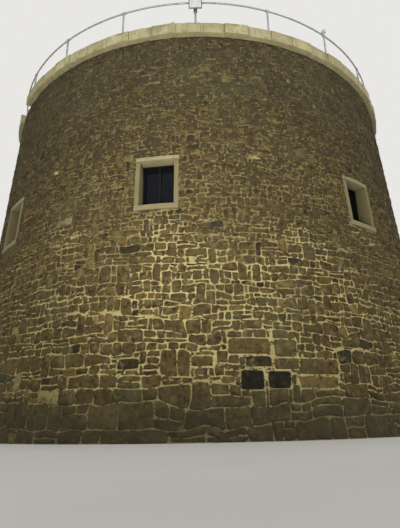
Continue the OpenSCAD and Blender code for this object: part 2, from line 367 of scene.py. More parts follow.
class Rubble:
    """Roughly coursed stones on a round wall, as outlines on its face."""

    def __init__(self, seed, radius, low, high, course, holes=()):
        self.rng = np.random.default_rng(seed)
        noise.seed_set(seed)
        self.radius, self.low, self.high, self.course, self.holes = radius, low, high, course, holes
        self.levels = self.make_levels()
        self.beds = self.make_beds()

    def make_levels(self):
        levels = [self.low]
        while levels[-1] < self.high - 0.07:
            step = self.course(levels[-1]) * self.rng.uniform(*COURSE_SPREAD)
            levels.append(min(levels[-1] + step, self.high))
        if self.high - levels[-2] < LAST_COURSE:
            levels.pop(-2)
        levels[-1] = self.high
        return levels

    def make_beds(self):
        """The wavy line of each bed joint round the wall."""
        rng, span = self.rng, self.high - self.low
        slow = [wavy(rng, DRIFT[0]) for _ in range(DRIFT_STEPS + 1)]
        beds = []
        for z in self.levels:
            h = self.course(z)
            t = (z - self.low) / span * DRIFT_STEPS
            i = min(int(t), DRIFT_STEPS - 1)
            drift = slow[i] * (i + 1 - t) + slow[i + 1] * (t - i)
            calm = min(1, (z - self.low) / BED_CALM, (self.high - z) / BED_CALM)
            uneven = min(1, 0.4 + z / 3)
            wave = DRIFT[1] * drift * (0.5 + h) + BED_WAVE[1] * h * wavy(rng, BED_WAVE[0])
            wave += uneven * h * sum(reach * wavy(rng, knots) for knots, reach in SMALL_WAVES)
            beds.append(z + calm * wave)
        for k in range(1, len(beds)):
            beds[k] = np.maximum(beds[k], beds[k - 1] + LEAST_COURSE)
        for k in range(len(beds) - 2, 0, -1):
            beds[k] = np.minimum(beds[k], beds[k + 1] - LEAST_COURSE)
        return beds

    def bed(self, k, angle):
        at = (angle % 360) / 360 * SAMPLES
        i = int(at)
        line = self.beds[k]
        return float(line[i % SAMPLES] * (i + 1 - at) + line[(i + 1) % SAMPLES] * (at - i))

    def between(self, k0, k1, share):
        """A line that runs some share of the way from one bed to another."""
        return lambda angle: self.bed(k0, angle) * (1 - share) + self.bed(k1, angle) * share

    def cell_width(self, z, h, room):
        """Width of a course's next stone, in the room that is left."""
        mean, spread, least, most = WALL_STONES if z > FOOT_TOP else FOOT_STONES
        w = min(max(h * math.exp(self.rng.normal(mean, spread)), least), most)
        if room < SPARE_SHARE * w or room - w < SPARE_ROOM:
            w = room if room < 1.6 * w else room / 2
        return w

    def fill(self, k, a, b, w, h):
        """The stones of one cell of a course, and whether it is one stone through two courses."""
        rng, under = self.rng, self.between(k, k + 1, 0)
        chance = rng.uniform()
        if k < len(self.levels) - 3 and chance < TALL_CHANCE and 0.11 < w < 0.32 and h < 0.2:
            return [(a, b, self.between(k, k + 2, 0), self.between(k, k + 2, 1))], True
        over = self.between(k, k + 1, 1)
        if chance >= CUT_CHANCE or h <= 0.14 or w <= 0.17:
            return [(a, b, under, over)], False
        seam = self.between(k, k + 1, rng.uniform(0.38, 0.62))
        cuts = [a, b]
        if w > 0.34 and rng.uniform() < 0.6:
            cuts = [a, a + (b - a) * rng.uniform(0.35, 0.65), b]
        return [(a, b, under, seam)] + [(c, d, seam, over) for c, d in zip(cuts, cuts[1:])], False

    def cells(self):
        """Each stone's room: its angles, and the lines under and over it."""
        out = []
        taken = [[] for _ in self.levels]
        for k in range(len(self.levels) - 1):
            z, h = self.levels[k], self.levels[k + 1] - self.levels[k]
            degree = math.degrees(1 / self.radius(z))
            a = taken[k][0][1] if taken[k] else self.rng.uniform(0, 360)
            end = a + 360
            blocked = sorted(((lo - a) % 360 + a, (lo - a) % 360 + a + hi - lo) for lo, hi in taken[k])
            while a < end - 1e-6:
                lo, hi = next((b for b in blocked if b[1] > a + 1e-6), (end, end))
                if lo <= a + 0.03 * degree:
                    a = hi
                    continue
                w = self.cell_width(z, h, (min(lo, end) - a) / degree)
                b = a + w * degree
                stones, tall = self.fill(k, a, b, w, h)
                out += stones
                if tall:
                    taken[k + 1].append((a, b))
                a = b
        return out

    def left_by_holes(self, a0, a1, z0, z1):
        """The parts of a cell that the holes leave."""
        parts = [(a0, a1, z0, z1)]
        for angle, half_w, low, high in self.holes:
            half = math.degrees((half_w + 0.004) / self.radius((z0 + z1) / 2))
            left = []
            for b0, b1, y0, y1 in parts:
                c = angle + 360 * round(((b0 + b1) / 2 - angle) / 360)
                l, r = c - half, c + half
                if b1 <= l or b0 >= r or y1 <= low or y0 >= high:
                    left.append((b0, b1, y0, y1))
                    continue
                across = max(b0, l), min(b1, r)
                left += [p for p in ((b0, l, y0, y1), (r, b1, y0, y1), (*across, max(y0, high), y1),
                                     (*across, y0, min(y1, low))) if p[0] < p[1] and p[2] < p[3]]
            parts = left
        return parts

    def outline(self, width, under, over):
        """Points round one stone, anticlockwise from its lower left, with broken corners."""
        rng = self.rng
        joint = rng.uniform(*HALF_JOINT)
        runs = 2 if width < 0.26 else 3 if width < 0.5 else 4
        across = joint + (width - 2 * joint) * np.arange(runs + 1) / runs
        lean = rng.normal(0, SIDE_STRAY, 2)
        aside = np.concatenate([lean[:1], rng.normal(0, SIDE_STRAY, runs - 1), lean[1:]])
        lower = [(u + s, under(u) + joint + rng.normal(0, BED_STRAY)) for u, s in zip(across, aside)]
        upper = [(u - s, over(u) - joint + rng.normal(0, BED_STRAY)) for u, s in zip(across, aside)][::-1]
        sides = [], []
        if over(width / 2) - under(width / 2) > 0.12:
            for side, u in zip(sides, (width - joint, joint)):
                side.append((u + rng.normal(0, MIDDLE_STRAY), (under(u) + over(u)) / 2))
        ring = np.array(lower + sides[0] + upper + sides[1])
        ends = {0, runs, runs + 1 + len(sides[0]), 2 * runs + 1 + len(sides[0])}
        points = []
        for i, p in enumerate(ring):
            if i in ends:
                for q in (ring[i - 1], ring[(i + 1) % len(ring)]):
                    points.append(p + (q - p) * min(rng.uniform(*CORNER_CUT), CORNER_MOST / math.dist(p, q)))
            else:
                points.append(p)
        return np.array(points)

    def warped(self, angle, radius, ring):
        """An outline moved by the waves, which fade out at the holes and at the wall's foot and head."""
        moved = []
        for u, z in ring:
            a = angle + u / radius
            spot = Vector((radius * math.sin(a), -radius * math.cos(a), z))
            move = sum((noise.noise_vector(spot * often) * far for often, far in WARPS), Vector())
            level = min(1, max(0, min(z - self.low, self.high - z) / WARP_FADE))
            free = 1
            for centre, half_w, low, high in self.holes:
                aside = abs(math.remainder(a - math.radians(centre), 2 * math.pi)) * radius - half_w
                free = min(free, max(0, aside, low - z, z - high) / WARP_FADE)
            moved.append((u + move.x * free, z + move.y * free * level))
        return np.array(moved)

    def stones(self):
        """(angle of the left end, radius, outline in metres) of each stone."""
        out = []
        for a0, a1, lower, upper in self.cells():
            middle = (a0 + a1) / 2
            z0, z1 = lower(middle), upper(middle)
            for b0, b1, y0, y1 in self.left_by_holes(a0, a1, z0, z1):
                radius = self.radius((y0 + y1) / 2)
                degree = math.degrees(1 / radius)
                width = (b1 - b0) / degree
                if width < LEAST_STONE[0] or y1 - y0 < LEAST_STONE[1]:
                    continue
                foot, head = (-math.inf, math.inf) if (y0, y1) == (z0, z1) else (y0, y1)
                ring = self.outline(width, lambda u: max(lower(b0 + u * degree), foot),
                                    lambda u: min(upper(b0 + u * degree), head))
                ring = self.warped(math.radians(b0), radius, ring)
                if np.ptp(ring[:, 1]) > 0.02:
                    out.append((math.radians(b0), radius, ring))
        return out


STONE_SEED, INNER_SEED = 7, 11
INNER_COURSE = 0.15
SEGMENT_NAMES = ("front", "front_right", "right", "rear_right", "rear", "rear_left", "left", "front_left")
# Stones that stand out by their size or colour: angle, height, width, height of the stone, tone
SINGLE_STONES = (
    (-32.9, 5.85, 0.17, 0.13, 1.0),
    (11.3, 5.65, 0.27, 0.11, 0.97),
    # The two stones of tone 0 are near black: partly dark stone, partly painted shadow
    (8.0, 1.01, 0.43, 0.35, 0.0),
    (12.5, 1.01, 0.43, 0.31, 0.0),
    (9.2, 1.33, 0.49, 0.20, 0.07),
    (13.9, 1.29, 0.47, 0.21, 0.42),
    (7.8, 1.60, 0.79, 0.30, 0.32),
    (13.9, 1.57, 0.45, 0.33, 0.35),
    (19.9, 1.25, 0.82, 0.29, 0.26),
    (19.5, 0.97, 0.80, 0.22, 0.84),
    (-12.0, 1.33, 0.41, 0.20, 0.07),
    (0.1, 1.34, 0.40, 0.20, 0.30),
)
# The drain's gap in the stones: angle, half width, foot and head. Inside, foot and head over the platform
DRAIN_GAP = (50.0, 0.075, 7.755, 7.905)
INNER_DRAIN = (-0.01, 0.14)
# The other stones' tones, the share of each, the spread and the darkest
TONES = (0.07, 0.22, 0.42, 0.62, 0.80, 0.91)
TONE_SHARES = (0.05, 0.37, 0.31, 0.15, 0.10, 0.02)
TONE_SPREAD, DARKEST = 0.05, 0.05
# How far a stone's face stands out, to which a large one adds
STONE_PROUD = (0.005, 0.022)
# A stone less high or wide than this is a plain one
SMALL_STONE = 0.14


def on_wall(angle, z, depth):
    return at_radius(angle, wall_r(z) + depth, z)


def in_parapet(angle, z, depth):
    return at_radius(angle, PARAPET_R - depth, z)


def add_stone(parts, rng, angle, radius, outline, surface, tone=None, flip=False):
    size = float(np.ptp(outline, axis=0).min())
    shade = rng.uniform(0, 1) if tone is None else 0
    if tone is None:
        tone = max(rng.choice(TONES, p=TONE_SHARES) + rng.normal(0, TONE_SPREAD), DARKEST)
    add_relief(parts, rng, outline, lambda u, z, depth: surface(angle + u / radius, z, depth),
               proud=rng.uniform(*STONE_PROUD) + 0.02 * min(size, 0.35), bevel=0.006 + 0.04 * min(size, 0.3),
               flip=flip, plain=size < SMALL_STONE, tone=np.clip(tone, 0, 1), shade=shade)


def dress_outer_wall(material):
    holes = OPENINGS + [DRAIN_GAP]
    holes += [(a, w / 2, z - h / 2, z + h / 2) for a, z, w, h, _ in SINGLE_STONES]
    wall = Rubble(STONE_SEED, wall_r, 0, WALL_TOP, outer_course, holes)
    segments = [Parts() for _ in SEGMENT_NAMES]
    stones = [(a, r, ring, None) for a, r, ring in wall.stones()]
    for angle, z, w, h, tone in SINGLE_STONES:
        r = wall_r(z)
        ring = wall.outline(w, lambda u: z - h / 2, lambda u: z + h / 2)
        stones.append((math.radians(angle) - w / 2 / r, r, ring, tone))
    for angle, r, ring, tone in stones:
        middle = math.degrees(angle + np.ptp(ring[:, 0]) / 2 / r)
        segment = round(middle * len(segments) / 360) % len(segments)
        add_stone(segments[segment], wall.rng, angle, r, ring, on_wall, tone)
    for name, parts in zip(SEGMENT_NAMES, segments):
        parts.build("rubble_" + name, material, "rubble_stone")


def dress_parapet_inside(material):
    drain = DRAIN_GAP[:2] + tuple(PLATFORM_Z + z for z in INNER_DRAIN)
    wall = Rubble(INNER_SEED, lambda z: PARAPET_R, PLATFORM_Z, WALL_TOP, lambda z: INNER_COURSE, [drain])
    parts = Parts()
    for angle, r, ring in wall.stones():
        add_stone(parts, wall.rng, angle, r, ring, in_parapet, flip=True)
    parts.build("rubble_parapet_inside", material, "rubble_stone")


# Materials, with colours as they show on screen, from 0 to 255

def paint(*rgb):
    """A colour as it shows on screen, turned into Blender's linear values."""
    return (*(c / 255 / 12.92 if c < 11 else ((c / 255 + 0.055) / 1.055) ** 2.4 for c in rgb), 1)


def add_node(tree, kind, output=0, settings=(), inputs=()):
    """A new node's output. Its inputs are other nodes' outputs or plain values."""
    node = tree.nodes.new("ShaderNode" + kind)
    for key, value in dict(settings).items():
        setattr(node, key, value)
    for key, value in dict(inputs).items():
        if isinstance(value, bpy.types.NodeSocket):
            tree.links.new(value, node.inputs[key])
        else:
            node.inputs[key].default_value = value
    return node.outputs[output]


class Look:
    """A node material, with short calls for the nodes that recur."""

    def __init__(self, name, roughness, **sockets):
        self.material = bpy.data.materials.new(name)
        self.material.use_nodes = True
        self.tree = self.material.node_tree
        self.shader = self.tree.nodes["Principled BSDF"]
        self.shader.inputs["Roughness"].default_value = roughness
        for key, value in sockets.items():
            self.shader.inputs[key.replace("_", " ")].default_value = value
        self.place = self.add("TexCoord", "Object")

    def add(self, kind, output=0, settings=(), inputs=()):
        return add_node(self.tree, kind, output, settings, inputs)

    def value(self, name):
        """A point value of the mesh."""
        return self.add("Attribute", "Fac", {"attribute_name": name})

    def scaled(self, factors):
        return self.add("VectorMath", 0, {"operation": "MULTIPLY"}, {0: self.place, 1: factors})

    def noise(self, scale, detail=4, roughness=0.6, stretch=None):
        vector = self.scaled(stretch) if stretch else self.place
        return self.add("TexNoise", "Fac", (), {"Vector": vector, "Scale": scale, "Detail": detail,
                                                "Roughness": roughness})

    def cells(self, scale):
        return self.add("TexVoronoi", "Distance", (), {"Vector": self.place, "Scale": scale})

    def math(self, operation, a, b):
        return self.add("Math", 0, {"operation": operation}, {0: a, 1: b})

    def times(self, a, b):
        return self.math("MULTIPLY", a, b)

    def plus(self, a, b):
        return self.math("ADD", a, b)

    def minus(self, a, b):
        return self.math("SUBTRACT", a, b)

    def band(self, value, low, high, to_low=0.0, to_high=1.0):
        """A value carried smoothly from one range to another."""
        return self.add("MapRange", 0, {"interpolation_type": "SMOOTHSTEP"},
                        {0: value, 1: low, 2: high, 3: to_low, 4: to_high})

    def ramp(self, value, *stops):
        """Colours by a value, from stops of position and colour."""
        out = self.add("ValToRGB", 0, (), {0: value})
        elements = out.node.color_ramp.elements
        while len(elements) < len(stops):
            elements.new(0.5)
        for element, (position, *colour) in zip(elements, stops):
            element.position, element.color = position, paint(*colour)
        return out

    def mix(self, share, a, b, blend="MIX"):
        return self.add("Mix", 2, {"data_type": "RGBA", "blend_type": blend}, {0: share, 6: a, 7: b})

    def layers(self, colour, *layers):
        """A colour with others laid over it in turn, each by a share of its most."""
        for over, share, most in layers:
            colour = self.mix(self.times(share, most), colour, paint(*over))
        return colour

    def height(self):
        return self.add("SeparateXYZ", "Z", (), {0: self.place})

    def radius(self):
        return self.add("VectorMath", "Value", {"operation": "LENGTH"}, {0: self.scaled((1, 1, 0))})

    def bump(self, height, depth, strength=1.0, under=None):
        inputs = {"Height": height, "Distance": depth, "Strength": strength}
        if under:
            inputs["Normal"] = under
        return self.add("Bump", 0, (), inputs)

    def finish(self, colour, normal=None, roughness=None):
        for socket, value in (("Base Color", colour), ("Normal", normal), ("Roughness", roughness)):
            if value:
                self.tree.links.new(value, self.shader.inputs[socket])
        return self.material


def weathered(look, colour):
    """Grime under the coping, rain streaks and a damp foot, over a wall's colour."""
    z = look.height()
    drift = look.noise(0.7, 3)
    streak = look.noise(1.0, 3, stretch=(5.5, 5.5, 0.35))
    high = look.band(look.plus(z, look.times(drift, 3.0)), 7.4, 10.2)
    wet = look.times(look.band(streak, 0.55, 0.72), look.band(z, 5.0, 8.8))
    foot = look.band(look.minus(z, look.times(drift, 0.8)), 0.75, -0.1)
    return look.layers(colour, ((80, 76, 58), high, 0.28), ((58, 55, 41), wet, 0.38),
                       ((62, 59, 43), foot, 0.6))


def rubble_look():
    """Split stone coloured by tone, with pale clouds, darker stones high up, lichen, and lime and painted
    shade at its rims.
    """
    look = Look("rubble_stone", 0.9, Specular_IOR_Level=0.25)
    tone, grain, lump = look.value("tone"), look.noise(34, 6, 0.7), look.noise(11, 5, 0.65)
    # Tone 0 is near black, which is partly painted shadow
    stone = look.ramp(tone, (0.01, 34, 29, 23), (0.07, 64, 54, 36), (0.22, 103, 87, 51), (0.42, 102, 90, 58),
                      (0.62, 89, 74, 45), (0.80, 123, 102, 58), (0.92, 152, 137, 90), (0.99, 204, 193, 148))
    stone = look.mix(1.0, stone, look.ramp(grain, (0.3, 186, 181, 167), (0.7, 255, 252, 236)), "MULTIPLY")
    stone = look.mix(1.0, stone, look.ramp(lump, (0.34, 138, 131, 114), (0.52, 255, 253, 243)), "MULTIPLY")
    edge = look.times(look.minus(1.0, look.value("rim")), 0.3)
    stone = look.layers(
        stone,
        # Less of the pale clouds and none of the lichen near tone 0, so those stones stay near black as
        # painted shadow
        ((132, 118, 75), look.band(look.noise(7), 0.50, 0.66), look.band(tone, 0.0, 0.06, 0.12, 0.55)),
        ((60, 52, 36), look.value("shade"), look.band(look.height(), 2.5, 6.5, 0.28, 0.80)),
        ((91, 88, 61), look.band(look.noise(0.9, 3), 0.52, 0.64), look.band(tone, 0.0, 0.06, 0.0, 0.3)),
        ((147, 134, 87), look.band(look.plus(edge, look.noise(16)), 0.70, 0.92), 0.7),
        # Dark rims: painted shade where the stones meet the joints, partly dirt
        ((50, 43, 28), look.band(look.plus(edge, look.noise(8, 3)), 0.76, 0.86), 0.75))
    rough = look.bump(grain, 0.012, 0.9, look.bump(look.cells(22), 0.006, 0.5, look.bump(lump, 0.05)))
    return look.finish(weathered(look, stone), rough, look.band(grain, 0.3, 0.7, 0.8, 0.97))


# Between these radii the mortar turns into the limewash of the rooms
WASH_R = (4.12, 4.06)


def mortar_look():
    """Lime mortar, pale low down, worn higher up, and with painted shade in its deep open joints."""
    look = Look("lime_mortar", 0.95, Specular_IOR_Level=0.25)
    sand, lumps, height = look.noise(90, 3, 0.7), look.noise(13, 5), look.height()
    worn = look.plus(look.band(height, 2.4, 6.0, 0.0, 0.40), look.noise(0.8, 3))
    # Painted shade of deep open joints, in flat dark patches, more of them higher up
    open_joint_shade = look.plus(look.noise(9.0, 3, stretch=(1, 1, 1.8)), look.band(height, 3.0, 7.5, 0.0, 0.08))
    colour = look.layers(
        look.ramp(lumps, (0.25, 137, 124, 79), (0.5, 177, 163, 109), (0.75, 199, 186, 131)),
        ((113, 100, 64), sand, 0.35),
        ((103, 90, 56), look.band(worn, 0.44, 0.80), 0.82),
        ((52, 45, 30), look.band(open_joint_shade, 0.53, 0.60), 0.88))
    wash = look.ramp(lumps, (0.3, 176, 170, 152), (0.7, 206, 200, 184))
    colour = look.mix(look.band(look.radius(), *WASH_R), weathered(look, colour), wash)
    return look.finish(colour, look.bump(sand, 0.002, 0.7, look.bump(lumps, 0.012, 0.9)))


def dressed_look():
    """Dressed stone with streaks, dull patches and small dark spots, each stone darker by its shade value,
    which on the window surrounds is partly painted shade.
    """
    look = Look("dressed_stone", 0.85, Specular_IOR_Level=0.35)
    grain, streak = look.noise(45, 5, 0.7), look.noise(1.0, 4, 0.65, stretch=(14, 14, 1.2))
    colour = look.layers(
        look.ramp(look.noise(3.2, 5), (0.3, 167, 156, 113), (0.5, 191, 183, 137), (0.7, 209, 204, 162)),
        # Random tone, and on the window surrounds painted shade as well
        ((104, 94, 55), look.value("shade"), 0.8),
        ((146, 137, 108), grain, 0.4),
        ((116, 110, 88), look.band(streak, 0.50, 0.70), 0.5),
        ((132, 126, 98), look.band(look.noise(1.7), 0.50, 0.66), 0.5),
        ((92, 88, 70), look.band(look.noise(24, 2), 0.60, 0.68), 0.6))
    normal = look.bump(grain, 0.004, 0.8, look.bump(look.noise(12), 0.006, 0.7))
    return look.finish(colour, normal, look.band(grain, 0.3, 0.7, 0.75, 0.95))


def paving_look():
    look = Look("paving_stone", 0.88)
    grain = look.noise(40, 5, 0.7)
    colour = look.layers(
        look.ramp(look.value("tone"), (0.1, 112, 106, 92), (0.5, 136, 128, 108), (0.9, 152, 146, 128)),
        ((88, 88, 70), look.band(look.noise(2.2), 0.45, 0.7), 0.5),
        ((98, 92, 78), grain, 0.35))
    return look.finish(colour, look.bump(grain, 0.004, 0.8), look.band(grain, 0.3, 0.7, 0.75, 0.95))


def bedding_look():
    look = Look("paving_bedding", 0.95)
    sand = look.noise(60, 4, 0.7)
    return look.finish(look.ramp(sand, (0.3, 92, 86, 68), (0.7, 132, 124, 100)), look.bump(sand, 0.004, 0.8))


def timber_look(name, dark, light, along, roughness, **sockets):
    """Wood grain that runs along x, y or z, between a dark and a light colour."""
    look = Look(name, roughness, **sockets)
    grain = look.noise(1.0, 6, 0.65, stretch=tuple(1.6 if axis == along else 30.0 for axis in "xyz"))
    colour = look.ramp(grain, (0.3, *dark), (0.7, *light))
    colour = look.layers(colour, (dark, look.band(look.noise(5, 3), 0.5, 0.7), 0.4))
    gloss = look.band(grain, 0.3, 0.7, roughness - 0.1, roughness + 0.1)
    return look.finish(colour, look.bump(grain, 0.003, 0.7), gloss)


def glass_look():
    look = Look("window_glass", 0.06, Specular_IOR_Level=0.18, Alpha=0.72)
    haze = look.noise(3.5, 3)
    colour = look.ramp(haze, (0.35, 9, 11, 16), (0.75, 19, 22, 28))
    ripple = look.bump(look.noise(1.6, 2), 0.01, 0.3)
    return look.finish(colour, ripple, look.band(haze, 0.4, 0.8, 0.05, 0.16))


def steel_look():
    """Galvanised steel: its spangle, and rust that comes through."""
    look = Look("rail_steel", 0.5, Metallic=0.6)
    cloud = look.noise(9, 5)
    colour = look.ramp(look.cells(60), (0.1, 142, 146, 146), (0.8, 176, 180, 178))
    colour = look.layers(colour, ((112, 92, 68), look.band(cloud, 0.55, 0.75), 0.7))
    return look.finish(colour, look.bump(cloud, 0.001, 0.6), look.band(cloud, 0.35, 0.75, 0.38, 0.8))


def iron_look():
    look = Look("door_iron", 0.6, Metallic=0.5)
    cloud = look.noise(24, 5)
    colour = look.ramp(cloud, (0.35, 36, 35, 34), (0.6, 54, 50, 46), (0.75, 92, 58, 38))
    return look.finish(colour, look.bump(cloud, 0.002, 0.7), look.band(cloud, 0.35, 0.7, 0.5, 0.85))


def enamel_look(name, colour, dull):
    """Enamel with dull clouds and rusty chips."""
    look = Look(name, 0.45)
    cloud = look.noise(38, 5)
    shade = look.layers(paint(*colour), (dull, look.noise(9, 3), 0.4))
    shade = look.mix(look.band(cloud, 0.66, 0.72), shade, paint(84, 60, 42))
    return look.finish(shade, look.bump(cloud, 0.0008, 0.5), look.band(cloud, 0.3, 0.7, 0.35, 0.65))


def lens_look():
    look = Look("lamp_lens", 0.15, Emission_Strength=0.3)
    colour = look.ramp(look.noise(30, 2), (0.3, 150, 158, 154), (0.7, 205, 208, 200))
    look.tree.links.new(colour, look.shader.inputs["Emission Color"])
    return look.finish(colour, look.bump(look.cells(50), 0.0006, 0.5))


# Dressed stones

COPING_SEED, SURROUND_SEED, GAP_SEED = 23, 24, 25
# Faces that meet at more than this many degrees make a sharp edge
SHARP_STONE = 50
COPING_SIDES = ("front", "right", "rear", "left")
COPING_UNEVEN = 0.010
# Mortar in the coping's joints: degrees past a stone's ends, back from its face, under its top, less depth
JOINT_PAST, JOINT_BACK, JOINT_UNDER, JOINT_LESS = 0.07, 0.008, 0.012, 0.02
# Surrounds: node, how far its face stands out from the wall, cells of a stone, and shade
# Each range of shade holds random tone and painted shade: the jambs darkest, the lintels lightest, all darker
# than the coping
SURROUNDS = (
    ("sill_stones", 0.035, (8, 3, 2), (0.95, 1.15)),
    ("jamb_stones", 0.020, (2, 3, 9), (1.10, 1.25)),
    ("lintel_stones", 0.020, (8, 3, 1), (0.75, 1.0)),
)


def place_in_ring(low, sweep, outer, length):
    """Puts a block's own points on the wall's head: across as an angle, inward from the outer radius."""
    def place(across, inward, up):
        return at_radius(np.radians(low + sweep * across / length), outer - inward, WALL_TOP + up)
    return place


def coping_extent(points):
    """A coping stone's lowest angle, sweep, inner and outer radius."""
    angle = angle_of(points)
    local = turned_to_front(points, angle)
    r = np.hypot(local[:, 0], local[:, 1])
    a = np.degrees(np.arctan2(local[:, 0], local[:, 1]))[r > r.max() - 0.05]
    return angle + a.min(), float(np.ptp(a)), float(r.min()), float(r.max())


def dress_coping(material):
    rng = np.random.default_rng(COPING_SEED)
    height = COPING_Z - WALL_TOP
    for side in COPING_SIDES:
        node = "coping_" + side
        stones, joints = Parts(), Parts()
        for points in solids(node):
            low, sweep, inner, outer = coping_extent(points)
            length = math.radians(sweep) * outer
            size = (length, outer - inner, height - rng.uniform(0, COPING_UNEVEN))
            add_block(stones, rng, size, (5, 8, 3), place_in_ring(low, sweep, outer, length),
                      radius=rng.uniform(0.008, 0.016), rough=0.009, chips=4, shade=rng.uniform(0, 0.5))
            size = (length, outer - inner - JOINT_LESS, height - JOINT_UNDER)
            place = place_in_ring(low - JOINT_PAST, sweep + 2 * JOINT_PAST, outer - JOINT_BACK, length)
            add_block(joints, rng, size, (2, 2, 1), place, radius=0.004, rough=0.003, shade=0.6)
        stones.build("worn_" + node, material, "dressed_stone", sharp=SHARP_STONE, replaces=[node])
        joints.build(node + "_joints", material, "dressed_stone")


# Core stones in the coping's gap, in rows that leave room at the wall's faces and at their own ends
GAP_INNER, GAP_OUTER, GAP_START, GAP_END = 0.07, 0.2, (0.02, 0.06), 0.03
GAP_DEPTH, GAP_LENGTH, GAP_JOINT = (0.13, 0.22), (0.12, 0.34), 0.025
GAP_CORNER, GAP_STRAY = (0.02, 0.03), 0.007


def coping_gap():
    """Sweep and lowest angle of the widest gap in the coping."""
    spans = sorted(coping_extent(points)[:2] for side in COPING_SIDES for points in solids("coping_" + side))
    return max(((b[0] - a[0] - a[1]) % 360, a[0] + a[1]) for a, b in zip(spans, spans[1:] + spans[:1]))


def dress_gap(material):
    """Core stones that show on the wall's head where the coping is missing."""
    rng = np.random.default_rng(GAP_SEED)
    sweep, low = coping_gap()
    parts = Parts()
    r = PARAPET_R + GAP_INNER
    while r < TOP_R - GAP_OUTER:
        depth = rng.uniform(*GAP_DEPTH)
        length = math.radians(sweep) * r
        u = rng.uniform(*GAP_START)

        def on_head(across, out, up, row=r):
            return at_radius(math.radians(low) + across / row, out, WALL_TOP + up)

        while u < length - GAP_LENGTH[0]:
            wide = min(rng.uniform(*GAP_LENGTH), length - GAP_END - u)
            a, b, c, d = u, u + wide - GAP_JOINT, r, r + depth - GAP_JOINT
            p, q = GAP_CORNER
            ring = np.array([(a + p, c), (b - q, c), (b, c + q), (b, d - p), (b - p, d), (a + q, d),
                             (a, d - q), (a, c + p)]) + rng.normal(0, GAP_STRAY, (8, 2))
            add_relief(parts, rng, ring, on_head, proud=rng.uniform(0.004, 0.02), bevel=0.012, flip=True,
                       tone=rng.uniform(0.1, 0.9), shade=rng.uniform(0, 1))
            u += wide
        r += depth
    parts.build("coping_gap_stones", material, "rubble_stone")


def place_in_wall(angle, low, size, out):
    """Puts a block's own points into the battered face, from its least across, out and up."""
    a = math.radians(angle)

    def place(across, inward, up):
        x, z = low[0] + across, low[2] + up
        face = np.sqrt((wall_r(z) + out) ** 2 - x ** 2)
        y = face - inward / size[1] * (face - low[1])
        return np.stack([x * math.cos(a) + y * math.sin(a), x * math.sin(a) - y * math.cos(a), z], axis=1)
    return place


def dress_surrounds(material):
    rng = np.random.default_rng(SURROUND_SEED)
    for node, out, cells, tone_and_painted_shade in SURROUNDS:
        parts = Parts()
        for points in solids(node):
            middle = angle_of(points)
            angle = min((o[0] for o in OPENINGS), key=lambda a: abs((a - middle + 180) % 360 - 180))
            local = turned_to_front(points, angle)
            low, size = local.min(axis=0), np.ptp(local, axis=0)
            # Shade by node: random tone with painted shade
            add_block(parts, rng, size, cells, place_in_wall(angle, low, size, out),
                      radius=0.008, rough=0.005, chips=2, shade=rng.uniform(*tone_and_painted_shade))
        parts.build("worn_" + node, material, "dressed_stone", sharp=SHARP_STONE, replaces=[node])


# Roof paving and floor boards
FLAGS = dict(seed=51, row_w=0.62, lengths=(0.5, 1.1), joint=0.014, proud=0.008, rough=0.0012)
BOARDS = dict(seed=53, row_w=0.17, lengths=(2.4, 4.2), joint=0.004, proud=0.003, rough=0)
# How a rough row's width varies, the least piece, and how deep a piece starts
ROW_SPREAD, LEAST_PIECE, ROW_SUNK = (0.85, 1.15), 0.04, 0.006


def inside_circle(ring, radius, sides=72):
    """The part of a convex outline inside a circle, or None."""
    for k in range(sides):
        a = 2 * math.pi * (k + 0.5) / sides
        side = ring @ (math.cos(a), math.sin(a)) - radius
        if (side <= 0).all():
            continue
        if (side > 0).all():
            return None
        cut = []
        for i in range(len(ring)):
            j = (i + 1) % len(ring)
            if side[i] <= 0:
                cut.append(ring[i])
            if (side[i] <= 0) != (side[j] <= 0):
                cut.append(ring[i] + (ring[j] - ring[i]) * side[i] / (side[i] - side[j]))
        ring = np.array(cut)
    return ring


def lay_rows(name, material, slot, z, radius, seed, row_w, lengths, joint, proud, rough):
    """Rows of flags or boards inside a circle."""
    rng = np.random.default_rng(seed)
    parts = Parts()
    half = joint / 2
    y = -radius
    while y < radius:
        w = row_w * rng.uniform(*ROW_SPREAD) if rough else row_w
        x = -radius - rng.uniform(0, lengths[0])
        while x < radius:
            length = rng.uniform(*lengths)
            ring = rectangle(x + half, x + length - half, y + half, y + w - half)
            ring = inside_circle(ring, radius - joint)
            if ring is not None and len(ring) > 2 and np.ptp(ring, axis=0).min() > LEAST_PIECE:
                add_relief(parts, rng, ring, lambda u, v, depth: np.stack([u, v, z + depth], axis=1),
                           proud=proud, bevel=joint, sunk=ROW_SUNK, rough=rough, tone=rng.uniform(0, 1))
            x += length
        y += w
    parts.build(name, material, slot)


# Doorway

DOOR_SEED = 31
# By this much the doorway is narrower than its sill at each side
DOOR_JAMB_W = 0.14
PLANKS, PLANK_PROUD, SIDE_GAP, END_GAP = 6, 0.010, 0.003, 0.004
# Straps: distance from the leaf's foot and head, thickness, and half an outline from the hinges' side to the
# lock's, as distance from that side and half width
STRAP_IN, STRAP_T = 0.35, 0.006
STRAP_START, STRAP_TIP = (0.01, 0.03), ((0.22, 0.022), (0.14, 0.04), (0.06, 0))
STUD = ((0.014, 0), (0.012, 0.006), (0.007, 0.010), (TIP, 0.011))
STUD_LIFT = 0.005
# The pull ring: radius of ring and wire, height over the planks, and distance from the lock's side
RING_R, WIRE_R, RING_LIFT, RING_IN = 0.055, 0.007, 0.012, 0.12


def strap_outline(half, z):
    edge = [(-half + STRAP_START[0], STRAP_START[1])] + [(half - back, up) for back, up in STRAP_TIP]
    return np.array([(x, z - up) for x, up in edge] + [(x, z + up) for x, up in edge[-2::-1]])


